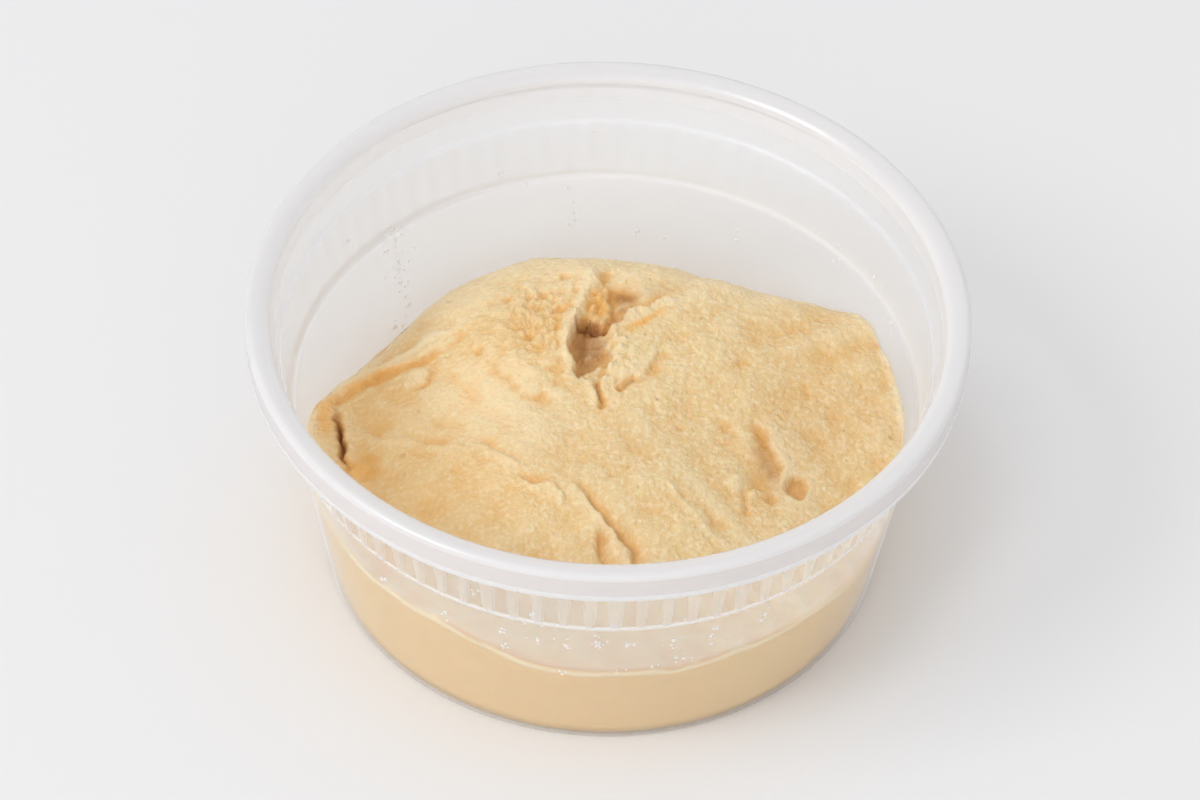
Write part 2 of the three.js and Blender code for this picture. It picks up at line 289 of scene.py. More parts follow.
def chain_of_edges(shape, corners):
    """Adds a chain of edges in the XZ plane and rounds its corners."""
    verts = [shape.verts.new((r * MM, 0, z * MM)) for r, z, _ in corners]
    for first, second in zip(verts, verts[1:]):
        shape.edges.new((first, second))
    for vert, (_, _, rounding) in zip(verts, corners):
        if rounding:
            bmesh.ops.bevel(
                shape,
                geom=[vert],
                affect="VERTICES",
                offset=rounding * MM,
                offset_type="OFFSET",
                segments=CORNER_STEPS,
                profile=0.5,
                material=-1,
            )


tub = bmesh.new()
chain_of_edges(tub, OUTSIDE + INSIDE)
print(f"the cross-section has {len(tub.verts)} points")

# %% [markdown]
# ### Ribs
#
# Under the lid step stand 80 small gussets that keep nested tubs from jamming. They are part of the
# same moulded wall. Instead of 80 boxes joined on, the spin takes eight steps for each rib, and the
# columns of points next to a rib are then moved to its edges and out to its face. So the ribs taper
# cleanly and the wall stays one skin. Cuts across the cross-section give the ribs and the skirt's
# lower edge, thicker and with a painted highlight line, their own rows of faces.

# %% Tub: spin and ribs
RIB_COUNT = 80
RIB_PHASE = 3.0  # degrees, from +X
STEPS_PER_RIB = 8
RIB_FOOT = {"height": LEDGE_HEIGHT + 0.9, "reach": LEDGE_R + 0.45, "width": 1.2}
RIB_TOP = {"height": STEP_HEIGHT - 0.15, "reach": LEDGE_R + 2.2, "width": 2.1}
RIB_ROOT = RIB_FOOT["height"] - 0.12  # right below a rib, where the wall is plain
RIB_FACE_COLUMNS = 2  # on each side of a rib's middle, the columns that make its face
RIB_DRAFT = 0.4  # how far a rib's flank leans, so that it leaves the mould
STRONG_EVERY = 5  # every fifth rib is a little wider
STRONG_WIDER = 0.5
RIBS_END_R = LEDGE_R + 2.5  # what lies further out belongs to the rim
# the skirt's lower edge gets the whitest PP: thicker plastic, and a painted highlight line
EDGE_BAND = 1.3  # the lower edge of the rim's skirt, where it is thicker
SKIRT_BAND = TUB_HEIGHT - SKIRT_DEPTH + EDGE_BAND
SEAM = 0.001 * MM  # points nearer than this, where the spin ends, become one

for height in (RIB_ROOT, RIB_FOOT["height"], RIB_TOP["height"], SKIRT_BAND):
    bmesh.ops.bisect_plane(
        tub, geom=tub.verts[:] + tub.edges[:], plane_co=(0, 0, height * MM), plane_no=(0, 0, 1)
    )
bmesh.ops.spin(
    tub,
    geom=tub.verts[:] + tub.edges[:],
    cent=(0, 0, 0),
    axis=(0, 0, 1),
    angle=2 * pi,
    steps=RIB_COUNT * STEPS_PER_RIB,
    use_merge=True,
)
bmesh.ops.remove_doubles(tub, verts=tub.verts, dist=SEAM)
bmesh.ops.recalc_face_normals(tub, faces=tub.faces)

INNER_LINE = sorted((z, r) for r, z, _ in INSIDE[:-1])
CLOSE = 0.001  # of a rib's height: a point this near its end counts as on it


def inner_radius(height):
    """How far the inner wall stands from the axis at a height."""
    return np.interp(height, [z for z, _ in INNER_LINE], [r for _, r in INNER_LINE])


def rib_point(radius, height, turn):
    """Where a point of the plain wall goes to make the ribs. turn is in steps of the spin."""
    rise = (height - RIB_FOOT["height"]) / (RIB_TOP["height"] - RIB_FOOT["height"])
    if not -CLOSE <= rise <= 1 + CLOSE:
        return radius, turn
    number, column = divmod(round(turn) + STEPS_PER_RIB // 2, STEPS_PER_RIB)
    column -= STEPS_PER_RIB // 2
    half = (RIB_FOOT["width"] + (RIB_TOP["width"] - RIB_FOOT["width"]) * rise) / 2
    if number % STRONG_EVERY == 0:
        half += STRONG_WIDER / 2
    edges = {1: half / 2, 2: half - RIB_DRAFT / 2, 3: half + RIB_DRAFT / 2}
    if abs(column) in edges:
        step = 2 * pi * radius / (RIB_COUNT * STEPS_PER_RIB)
        turn = number * STEPS_PER_RIB + (edges[abs(column)] / step) * (1 if column > 0 else -1)
    if abs(column) <= RIB_FACE_COLUMNS:
        reach = RIB_FOOT["reach"] + (RIB_TOP["reach"] - RIB_FOOT["reach"]) * rise
        radius = max(radius, reach)
    return radius, turn


step_angle = 2 * pi / (RIB_COUNT * STEPS_PER_RIB)
phase = radians(RIB_PHASE)
for vert in tub.verts:
    radius, height = hypot(vert.co.x, vert.co.y) / MM, vert.co.z / MM
    if radius < inner_radius(height) + WALL / 2 or radius > RIBS_END_R:
        continue
    turn = atan2(vert.co.y, vert.co.x) / step_angle
    radius, turn = rib_point(radius, height, turn)
    angle = turn * step_angle + phase
    vert.co = (radius * cos(angle) * MM, radius * sin(angle) * MM, height * MM)

# %% Tub: the piece
THIN, FOGGED, RIBBED, UPPER, RIM, SKIRT, THICK_LIT_EDGE = range(len(PP_KINDS))  # in the order of PP_KINDS
SHARP = radians(35)  # edges that turn by more than this are drawn sharp
# the ledge's corner, whose faces get the whitest PP as a painted highlight line
LEDGE_LINE = (LEDGE_HEIGHT - 0.8, LEDGE_HEIGHT + 0.9)
RIM_BAND = 1.7  # the rolled top of the rim, down from its crest
RIM_WIDTH = 4.4  # and in from its edge
SKIRT_WIDTH = 1.2  # the skirt's faces lie within this of the rim's edge
UNDER_SKIRT = 0.1  # and no further than this below its end
WALL_SLANT = 1.5  # the plain wall leans out this much from the ledge to the lid step
RIB_STANDS_OUT = 0.15  # faces this far outside the plain wall belong to a rib


def kind_of_wall(radius, height, faces_axis):
    """Which kind of PP a face of the tub gets. The upper wall lies behind the skirt."""
    if height > TUB_HEIGHT - RIM_BAND and radius > RIM_R - RIM_WIDTH:
        return RIM
    if height > TUB_HEIGHT - SKIRT_DEPTH - UNDER_SKIRT and radius > RIM_R - SKIRT_WIDTH:
        # the skirt's lower edge: thicker plastic with a painted highlight line
        return THICK_LIT_EDGE if height < SKIRT_BAND else SKIRT
    if faces_axis and height > FLOOR_TOP:
        # above the skirt's edge the inner face is painted lighter, over the shaded gap behind it
        return UPPER if height > SKIRT_BAND else FOGGED
    plain_wall = np.interp(height, [LEDGE_HEIGHT, STEP_HEIGHT], [LEDGE_R, LEDGE_R + WALL_SLANT])
    rib = LEDGE_HEIGHT < height < STEP_HEIGHT and radius > plain_wall + RIB_STANDS_OUT
    # a painted highlight line along the ledge's corner
    if LEDGE_LINE[0] < height < LEDGE_LINE[1]:
        return THICK_LIT_EDGE
    return RIBBED if rib else THIN


tub_mesh = bpy.data.meshes.new("deli_tub")
for face in tub.faces:
    face.smooth = True
    centre = face.calc_center_median()
    faces_axis = centre.x * face.normal.x + centre.y * face.normal.y < 0
    face.material_index = kind_of_wall(hypot(*centre.xy) / MM, centre.z / MM, faces_axis)
print(f"tub: {len(tub.faces)} faces")
tub.to_mesh(tub_mesh)
tub.free()
for kind in PP_KINDS:
    tub_mesh.materials.append(kind)
tub_mesh.set_sharp_from_angle(angle=SHARP)
deli_tub = put_in_scene("deli_tub", tub_mesh)
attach(deli_tub, "root")
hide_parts("container")

# %% [markdown]
# ## Hummus: the surface
#
# The dip is one soft heap, so its top is a height field: one height for each place on the tub's
# plan. A broad mound comes first. A spoon then left dabs, which are oval dents and bumps, and
# strokes, which are creases and lips along a line. Each has a name and a row of numbers, in
# millimetres and degrees. Sculpting by hand would be another way, but this one can be read.
#
# numpy works on all the points at once, which keeps a fine surface quick to make.


# %% Hummus: small curves
def smoothstep(low, high, value):
    """0 up to low and 1 from high on, with a smooth rise between them."""
    share = np.clip((value - low) / (high - low), 0, 1)
    return share * share * (3 - 2 * share)


def soft_min(first, second, reach):
    """The lesser of two heights, blended where they are within reach of each other."""
    share = np.clip(0.5 + 0.5 * (second - first) / reach, 0, 1)
    return second * (1 - share) + first * share - reach * share * (1 - share)


def soft_max(first, second, reach):
    return -soft_min(-first, -second, reach)


def through(points, value):
    """A smooth curve through points of (place, height), read at value."""
    places, heights = (np.array(each, float) for each in zip(*points))
    slopes = np.gradient(heights, places)
    slopes[1:-1] = (heights[2:] - heights[:-2]) / (places[2:] - places[:-2])
    value = np.clip(value, places[0], places[-1])
    i = np.clip(np.searchsorted(places, value, side="right") - 1, 0, len(places) - 2)
    span = places[i + 1] - places[i]
    t = (value - places[i]) / span
    leave = t * (1 - t) ** 2 * span * slopes[i] + (1 + 2 * t) * (1 - t) ** 2 * heights[i]
    arrive = t * t * (t - 1) * span * slopes[i + 1] + t * t * (3 - 2 * t) * heights[i + 1]
    return leave + arrive


# %% Hummus: the mound
# The line that the hummus draws on the wall: (azimuth in degrees, height), front and sides.
SHORELINE = [
    (-300, 24.3), (-292, 16.8), (-210, 16.3), (-190, 20.3), (-174, 22.8), (-158, 23.1),
    (-145, 22.3), (-134, 22.3), (-122, 23), (-112, 20.4), (-103, 18.6), (-88, 17.7), (-72, 17.6),
    (-58, 18.3), (-47, 19), (-33, 17.5), (-22, 18.9), (-8, 21.8), (8, 24.6), (18, 25.5),
    (24, 25.2), (28.5, 27), (35, 25.4), (60, 24.3),
]  # fmt: skip
# The back of the heap, where it turns down: (x, y, height).
RIDGE = [
    (-49, 3.1, 21.6), (-43, 9.8, 23.5), (-38, 14.6, 25), (-33, 19.8, 28.1), (-26, 25.1, 31.3),
    (-16, 29.5, 34.1), (-6, 29.8, 34.4), (6, 29.1, 34), (18, 27.5, 32), (30, 25.7, 29.5),
    (40, 24.9, 27.2), (47, 25.8, 27.2),
]  # fmt: skip
FRONT_SLOPE = 0.109  # the mound falls this much a millimetre towards the front
BACK_SLOPE = 1.3  # and this much behind its ridge
BACK_START = 2  # the back slope, drawn on upwards, passes this far above the ridge
BACK_LEVEL = 12.3  # of what lies behind the mound, against the back wall
BACK_TURN = 4  # how softly the back slope runs out into that level
MOUND_R = 49
WALL_POWER = 4  # high, so that the mound only bends to the wall's line close to the wall
RIDGE_TURN = 5  # how softly the ridge is rounded
RIDGE_TURN_LESS = 4.4  # and how much less, where it meets the wall on the right
RIDGE_END = (32, 44)  # the stretch of x over which the rounding goes away


def shoreline(x, y):
    """How high the hummus stands on the wall, in the direction of a place."""
    azimuth = np.degrees(np.arctan2(y, x))
    last = SHORELINE[-1][0]
    return through(SHORELINE, np.where(azimuth > last, azimuth - 360, azimuth))


def mound(x, y):
    edge = through([(px, py) for px, py, _ in RIDGE], x)
    crest = through([(px, pz) for px, _, pz in RIDGE], x)
    wall = shoreline(x, y)
    open_top = crest - FRONT_SLOPE * (edge - y)
    reach = np.minimum(1, np.hypot(x, y) / MOUND_R)
    front = wall + (open_top - wall) * (1 - reach**WALL_POWER)
    back = crest + BACK_START - BACK_SLOPE * (y - edge)
    ridge_turn = RIDGE_TURN - RIDGE_TURN_LESS * smoothstep(*RIDGE_END, x)
    return soft_max(soft_min(front, back, ridge_turn), BACK_LEVEL, BACK_TURN)


# %% Hummus: dabs
# (x, y, half length, half width, turn in degrees, rise, edge), edge 1 soft and 8 cut sharp.
DABS = {
    "swipe": (-20, 0, 14, 7.5, -38, -1.5, 1),
    "left_recess": (-37.5, 3, 8, 5.5, 55, -0.7, 2),
    "left_bank": (-47, -1, 9, 2, 100, 0.7, 1),
    "small_flap": (-31.2, 9.2, 2.2, 1.7, 20, 0.6, 2),
    "left_bump": (-34.5, -4, 4, 2.2, -20, 0.5, 1),
    "orange_lump": (-39.7, -9, 1.9, 1.4, 20, 1.0, 2),
    "torn_patch": (-13.5, 15, 12, 7, 40, 0.6, 1),
    "torn_top": (-16, 19, 5, 3, 60, 0.5, 2),
    "crater": (-3.0, 11.8, 4.6, 2.8, 84, -1.9, 2),
    "crater_foot": (-1.9, 6.8, 3.2, 2.4, 65, -0.8, 2),
    "scoop": (1.8, 21.4, 5.2, 2.8, 66, -1.5, 2),
    "under_fold": (5.2, 16.6, 2.9, 1.0, 36, -0.4, 1),
    "flap": (4.2, 8.4, 4.4, 3.1, 80, 0.6, 2),
    "east_mass": (13, 12, 9, 8, 0, 0.5, 1),
    "groove_valley": (24.6, -10.5, 5.5, 2.6, -70, -1.0, 1),
    "groove_lump": (23.3, -4.7, 2.2, 1.6, -60, 0.6, 1),
    "groove_hollow": (20, -2.2, 1.8, 1.1, -60, -0.5, 1),
    "pale_chip": (25.2, -14, 1.1, 0.7, 20, 0.6, 2),
    "pale_lump": (22, -13, 1.8, 1.5, 0, 0.5, 2),
    "pit": (31.3, -11.4, 2.2, 1.75, 75, -1.7, 6),
    "pocket": (0.2, -27.6, 1.6, 0.9, 80, -0.6, 1),
    "front_lobe": (2.9, -28.6, 3.2, 1.5, -62, 0.7, 2),
    "ridge_foot": (18.3, -21.2, 2.2, 1.1, -55, -0.5, 1),
}
# Small bumps and holes, where air escaped or a crumb lies: (x, y, radius, rise).
DOTS = [
    (-16.2, 21.3, 0.9, -0.8), (-10.8, 21.8, 0.8, -0.8), (-7.6, 26.8, 0.8, -0.6),
    (-12.5, 12.5, 0.9, -0.7), (-21, 11, 0.9, -0.7), (-10.5, 1.5, 0.8, -0.6),
    (-9, 22.5, 0.7, -0.7), (-13.3, 25.2, 1.0, 0.5), (-14, 18.5, 1.1, 0.6), (-19, 18.8, 1.0, 0.5),
    (-26, 12.1, 0.4, -0.7), (-17.5, 14.5, 1.3, 0.5), (-11.5, 16, 1.2, 0.5), (-9.5, 8, 1.3, 0.4),
    (-15, 8.5, 1.4, 0.5), (-12, 5, 1.1, 0.4), (1.3, 16.1, 0.5, -1.0), (10.4, 23.4, 0.5, -0.5),
    (-6, -28, 1.6, 0.35), (-10, -29, 1.4, 0.35), (-8, -24.5, 1.5, 0.3), (-12, -26, 1.4, 0.3),
    (12, -4, 0.5, -0.4), (22, 11, 0.5, -0.4), (27.2, -14.2, 0.5, -0.6), (-41, -8.6, 0.6, -0.9),
    (46.7, 1.8, 0.4, -0.5), (-26.5, 24.8, 0.6, 0.7), (1.2, -15, 0.4, -0.5),
    (14.8, -15.7, 0.4, -0.4), (-17.6, -24, 0.4, -0.4), (-24, -13, 0.4, -0.4),
]  # fmt: skip


def dab(shape, x, y):
    """The rise of one oval dent or bump at a place."""
    cx, cy, length, width, turn, rise, edge = shape
    c, s = cos(radians(turn)), sin(radians(turn))
    u = ((x - cx) * c + (y - cy) * s) / length
    v = ((y - cy) * c - (x - cx) * s) / width
    return rise * np.exp(-((u * u + v * v) ** edge))


# %% Hummus: strokes
# A line of points, then the rise just left of it and over how many millimetres that fades, the same
# on its right, and the width of the slope between the two. Unlike rises make a step, like a spoon's
# edge or a fold, and like ones a ridge or a furrow.
STROKES = {
    "left_crack": (
        [(-43.6, 5.8), (-43.1, 1.5), (-42.6, -2.5), (-42.0, -6.6), (-41.4, -8.4)],
        (-0.6, 0.45), (-3.0, 0.55), 0.25,
    ),
    "left_roll": (
        [(-47, 5.2), (-45, 7.2), (-41, 9.9), (-37.5, 12.4), (-32, 12.4), (-28, 13.6), (-22, 16.5)],
        (0.7, 3.5), (-0.45, 1.0), 0.4,
    ),
    "roll_crest": (
        [(-45, 9.5), (-38, 13.8), (-30, 16.9), (-20, 17.6)],
        (0.5, 1.0), (0.5, 1.6), 0.3,
    ),
    "flap_edge": (
        [(-28.3, 10.5), (-29, 8), (-30.4, 6.7), (-32.4, 7)],
        (0.0, 1.0), (-0.7, 0.7), 0.3,
    ),
    "recess_foot": (
        [(-42, 1), (-36, -4), (-30, -6), (-20, -8.5)],
        (-0.25, 1.8), (0.35, 2.0), 0.8,
    ),
    "torn_edge": (
        [(-23, 13), (-20, 10), (-18, 6.5), (-16, 5), (-14, 2), (-11, 1.5), (-9.5, 0.3), (-5, 0.4)],
        (0.6, 4.0), (-0.2, 1.2), 0.5,
    ),
    "crater_lip": (
        [(-4.4, 19), (-5.0, 16.5), (-6.2, 12), (-6.3, 9.8), (-5, 8), (-4.9, 4)],
        (-1.6, 2.6), (1.1, 2.2), 0.3,
    ),
    "tooth": (
        [(-1.8, 30), (-2.0, 26), (-3.0, 21), (-4.2, 16.5), (-4.8, 13.5)],
        (-0.8, 3.2), (1.1, 1.9), 1.4,
    ),
    "tooth_edge": (
        [(-0.4, 26), (-0.1, 23), (0.1, 20), (-0.4, 17), (-1.2, 14.6)],
        (-0.5, 1.6), (0.5, 1.2), 0.4,
    ),
    "lip_groove": ([(-8.9, 22), (-8.6, 14), (-7.4, 9)], (-0.4, 0.7), (-0.4, 0.7), 0.3),
    "crater_roof": (
        [(-5.6, 15.6), (-4.4, 16.2), (-3.2, 16.6), (-2.2, 15.9), (-0.9, 16.6), (1.2, 16.0)],
        (0.7, 1.2), (-1.5, 0.9), 0.4,
    ),
    "crater_east": (
        [(-0.6, 17), (0.2, 15), (0.9, 13), (1.4, 11), (0.2, 9), (0.6, 7), (1.1, 4)],
        (0.5, 1.8), (-0.5, 1.2), 0.4,
    ),
    "fold": (
        [(-0.6, 13.6), (1.3, 16.6), (3, 18.3), (5.2, 19.8), (7.6, 21.3), (9.4, 22.2), (11.5, 23.2)],
        (-1.1, 2.2), (0.9, 1.0), 0.3,
    ),
    "flap_foot": ([(7.9, 12.5), (7.6, 8), (6.4, 5), (4.2, 3.2)], (-0.4, 1.5), (0.3, 1.0), 0.4),
    "finger": ([(-0.4, 5), (0.7, 3), (1.9, -0.2)], (0.9, 0.6), (0.9, 0.6), 0.3),
    "second_finger": ([(-3.6, 4.6), (-2.4, 2), (-1.4, -1.2)], (0.8, 0.6), (0.8, 0.6), 0.3),
    "finger_crease": ([(-1.8, 3.8), (-0.9, 1.2), (0, -1.6)], (-1.3, 0.5), (-1.3, 0.5), 0.3),
    "middle_crease": ([(0.2, 4.4), (0.9, 2.2), (1.6, 0.2)], (-1.0, 0.45), (-1.0, 0.45), 0.3),
    "flap_crease": ([(2.0, 1.8), (3, 3.8), (4.9, 4.7)], (-1.1, 0.5), (-1.1, 0.5), 0.3),
    "groove": (
        [(24.6, 0.5), (26.4, -2.6), (28, -5), (28.9, -7.2), (29.3, -9.5), (29, -12.5)],
        (0.6, 1.2), (-0.8, 3.5), 0.5,
    ),
    "groove_tail": ([(23, -12.5), (23.5, -19)], (-0.6, 0.5), (-0.6, 0.5), 0.3),
    "first_crease": (
        [(-22, -6.5), (-18, -9.5), (-15, -12), (-11, -15)],
        (-0.35, 2.0), (0.4, 1.8), 0.7,
    ),
    "second_crease": (
        [(-16, -15), (-13, -16), (-10, -17), (-8, -18), (-7, -19.3), (-6.3, -22.5)],
        (-0.35, 1.6), (0.5, 1.8), 0.5,
    ),
    "main_crease": (
        [
            (-6.5, -15.5), (-2.5, -19.6), (-0.9, -21.8), (1, -24.5), (3.2, -26.3), (4.5, -28.5),
            (6, -34),
        ],
        (-0.6, 1.8), (0.85, 2.2), 0.4,
    ),
    "pocket_line": ([(-0.6, -25.8), (-0.2, -30), (0.5, -34)], (-0.5, 0.5), (-0.5, 0.5), 0.3),
    "light_ridge": (
        [(9, -14), (13, -18), (15.5, -20.5), (18.5, -23.5), (21.5, -26.8)],
        (0.3, 0.8), (0.8, 0.8), 0.3,
    ),
}  # fmt: skip
STROKE_END = 0.2  # the share of its length over which a stroke fades out at each end


def beside(line, x, y):
    """How far a place lies from a line, with a minus on its right, and how far along it, 0 to 1."""
    far, along = np.full(x.shape, np.inf), np.zeros(x.shape)
    for i, ((x0, y0), (x1, y1)) in enumerate(zip(line, line[1:])):
        dx, dy = x1 - x0, y1 - y0
        t = np.clip(((x - x0) * dx + (y - y0) * dy) / (dx * dx + dy * dy), 0, 1)
        ox, oy = x - x0 - t * dx, y - y0 - t * dy
        distance = np.hypot(ox, oy)
        nearer = distance < np.abs(far)
        far = np.where(nearer, distance * np.where(dx * oy - dy * ox > 0, 1, -1), far)
        along = np.where(nearer, (i + t) / (len(line) - 1), along)
    return far, along


def stroke(shape, x, y):
    """The rise of one crease, lip or ridge at a place."""
    line, (left_rise, left_fade), (right_rise, right_fade), width = shape
    far, along = beside(line, x, y)
    ends = smoothstep(0, STROKE_END, along) * smoothstep(0, STROKE_END, 1 - along)
    left = left_rise * np.exp(-((far / left_fade) ** 2))
    right = right_rise * np.exp(-((far / right_fade) ** 2))
    return ends * (right + (left - right) * smoothstep(-width, width, far))


# %% [markdown]
# ### Grain
#
# Ground chickpeas leave the paste slightly lumpy. Soft lumps lie everywhere, crumbs of one to two
# millimetres where the paste was torn, and hardly any where the back of the spoon smoothed it.
# Noise is right for these, since no two lumps are alike. Its seeds are fixed, so each run gives the
# same ones.

# %% Hummus: grain
# Long low swells of the surface: (radians a millimetre along x, the same along y, height).
WAVES = [(0.31, 0.12, 0.24), (-0.17, 0.36, 0.22), (0.52, -0.41, 0.15), (0.73, 0.64, 0.1)]
WAVE_SHIFT = 2.1  # radians between one swell's start and the next one's
ROUGHNESS_RANGE = (0.08, 2.5)
SEED_SHIFT = 17.3  # noises with other seeds are read this far apart
PLAIN_NOISE = (1.0, 2.0)  # for noise.fractal: how fast its finer lumps fade, and how much finer
LUMPY_NOISE = (0.8, 2.0)
LUMP_OCTAVES = 3
# Of the dabs below, the sixth number is how much rougher, or smoother with a minus, the paste gets.
SMOOTHED = {
    "swipe": (-20, 1, 13, 7, -38, -0.75, 1),
    "left_recess": (-37, 3, 7, 6, 30, -0.7, 1),
    "left_slope": (-33, 21, 9, 4, 40, -0.8, 1),
    "back_scoop": (3, 22.5, 6, 4, 25, -0.9, 1),
    "front_left": (-20, -25, 22, 10, -25, -0.3, 1),
}
TORN = {
    "torn_patch": (-14, 15, 12, 8, 40, 1.3, 2),
    "crater_foot": (-1, 9, 7, 6, 90, 1.3, 2),
    "crater_tooth": (-2.0, 21, 7, 2.2, 80, 1.6, 1),
    "right_side": (25, 5, 24, 24, 0, 0.3, 1),
}


def roughness_at(x, y):
    """How crumbly the surface is: near 0 smoothed, 1 plain, up to 2.5 torn."""
    share = np.ones_like(x)
    for shape in (*SMOOTHED.values(), *TORN.values()):
        share += dab(shape, x, y)
    return np.clip(share, *ROUGHNESS_RANGE)


def even(values):
    """Shifts and scales values to a mean of 0 and a usual spread of 1."""
    values = np.array(values)
    return (values - values.mean()) / values.std()


def noise_over(x, y, size, octaves, seed):
    """Soft noise whose largest lumps are about size millimetres across."""
    places = zip(x / size + SEED_SHIFT * seed, y / size - SEED_SHIFT * seed)
    return even([noise.fractal((px, py, seed), *PLAIN_NOISE, octaves) for px, py in places])


def lumps_over(x, y, size, seed):
    """Uneven lumps, about size millimetres across, with creases between them."""
    places = zip(x / size, y / size)
    lumps = [noise.fractal((px, py, seed), *LUMPY_NOISE, LUMP_OCTAVES) for px, py in places]
    return even(np.abs(lumps))


def details(x, y):
    """What the spoon, the tears and the swells add to the mound at a place."""
    height = np.zeros_like(x)
    for shape in DABS.values():
        height += dab(shape, x, y)
    for cx, cy, radius, rise in DOTS:
        height += dab((cx, cy, radius, radius, 0, rise, 1), x, y)
    for shape in STROKES.values():
        height += stroke(shape, x, y)
    for i, (kx, ky, rise) in enumerate(WAVES):
        height += rise * np.sin(kx * x + ky * y + i * WAVE_SHIFT)
    return height


def hummus_height(x, y):
    return mound(x, y) + details(x, y)


# %% [markdown]
# ## Hummus: the mesh
#
# A square grid keeps its cells even when it is bent into a disc, where rings would crowd in the
# middle. Its border is then extruded down the wall row by row, in under the heap, and closed at a
# pole. For the moment the height of a point just tells its row, and the real places follow.
#
# The heap reaches a little way into the tub's wall, so that no film of air shows between the two.

# %% Hummus: grid and rows
CELLS = 272  # across the top, which makes a point about every 0.37 mm
SIDE_ROWS = 14  # from the heap's edge down the wall
FLOOR_ROWS = 4  # and from there in under the heap
INTO_WALL = 0.35
INTO_FLOOR = 0.5
# The first rows lie close below the edge, for the thin line of contact: the shares of the way down.
CONTACT_ROWS = (0.015, 0.04, 0.055)

heap = bmesh.new()
bmesh.ops.create_grid(heap, x_segments=CELLS, y_segments=CELLS, size=1)
border = [e for e in heap.edges if e.is_boundary]
for row in range(1, SIDE_ROWS + FLOOR_ROWS + 1):
    made = bmesh.ops.extrude_edge_only(heap, edges=border)["geom"]
    border = [e for e in made if isinstance(e, bmesh.types.BMEdge)]
    lowered = [v for v in made if isinstance(v, bmesh.types.BMVert)]
    bmesh.ops.translate(heap, verts=lowered, vec=(0, 0, -1))
hummus_mesh = bpy.data.meshes.new("hummus_heap")
heap.to_mesh(hummus_mesh)
heap.free()
places = np.empty(len(hummus_mesh.vertices) * 3)
hummus_mesh.vertices.foreach_get("co", places)
places = places.reshape(-1, 3)
print(f"heap: {len(places)} points before it is closed")


# %% Hummus: places
def square_to_disc(u, v):
    """Bends the square of -1 to 1 into the unit disc, with cells of equal size."""
    wide = np.abs(u) >= np.abs(v)
    radius = np.where(wide, u, v)
    ratio = np.divide(np.where(wide, v, u), radius, out=np.zeros_like(u), where=radius != 0)
    angle = np.where(wide, ratio * pi / 4, pi / 2 - ratio * pi / 4)
    return radius * np.cos(angle), radius * np.sin(angle)


WALL_GUESS = 50.0  # how far the wall stands from the axis at the heap's edge
WALL_ROUNDS = 4  # of reading the heights and then correcting that radius
NOT_ZERO = 1e-9  # keeps the middle point, which lies in no direction, from a division by zero
row = np.round(-places[:, 2])
share_x, share_y = square_to_disc(places[:, 0], places[:, 1])
top = row == 0
share_r = np.hypot(share_x, share_y)
wall_r = np.full(len(places), WALL_GUESS)
for _ in range(WALL_ROUNDS):
    height = hummus_height(share_x * wall_r, share_y * wall_r)
    outwards = np.stack([share_x, share_y]) / np.maximum(share_r, NOT_ZERO)
    wall_r = inner_radius(hummus_height(*(outwards * wall_r))) + INTO_WALL
x, y, z = share_x * wall_r, share_y * wall_r, height
print(f"the heap meets the wall {wall_r.min():.1f} to {wall_r.max():.1f} mm from the axis")

# %% Hummus: lumps on the top
ASIDE = {"reach": 0.30, "size": 3.5, "octaves": 3}  # how far, and the noise that leads there
BROAD_LUMPS = {"rise": 0.08, "size": 7}
SOFT_LUMPS = {"rise": 0.04, "size": 3.2}
CRUMBS = {"rise": 0.045, "size": 1.3}
TORN_LUMPS = {"rise": 0.13, "size": 1.9}
TORN_FROM = 0.9  # the roughness over which torn lumps show

# Paste never tears or creases along a smooth line, so the details are looked up a little aside.
tx, ty = x[top], y[top]
aside_x, aside_y = (
    place + ASIDE["reach"] * noise_over(tx, ty, ASIDE["size"], ASIDE["octaves"], seed)
    for place, seed in ((tx, 5), (ty, 6))
)
rough = roughness_at(tx, ty)
torn = (rough - TORN_FROM).clip(0)
z[top] = (
    mound(tx, ty)
    + details(aside_x, aside_y)
    + BROAD_LUMPS["rise"] * noise_over(tx, ty, BROAD_LUMPS["size"], octaves=1, seed=1)
    + rough * SOFT_LUMPS["rise"] * noise_over(tx, ty, SOFT_LUMPS["size"], octaves=1, seed=2)
    + rough * CRUMBS["rise"] * noise_over(tx, ty, CRUMBS["size"], octaves=2, seed=4)
    + torn * TORN_LUMPS["rise"] * lumps_over(tx, ty, TORN_LUMPS["size"], seed=3)
)
print(f"top: {z[top].min():.1f} to {z[top].max():.1f} mm high")

# %% Hummus: side and underside
floor_height = FLOOR_TOP - INTO_FLOOR
side = row > 0
down = np.interp(row[side], [*range(len(CONTACT_ROWS) + 1), SIDE_ROWS], [0, *CONTACT_ROWS, 1])
z[side] += (floor_height - z[side]) * down
side_r = inner_radius(z[side]) + INTO_WALL
inwards = np.clip((row[side] - SIDE_ROWS) / FLOOR_ROWS, 0, 1)
side_r *= 1 - inwards
x[side] = share_x[side] / share_r[side] * side_r
y[side] = share_y[side] / share_r[side] * side_r
print(f"side and underside: {side.sum()} points")

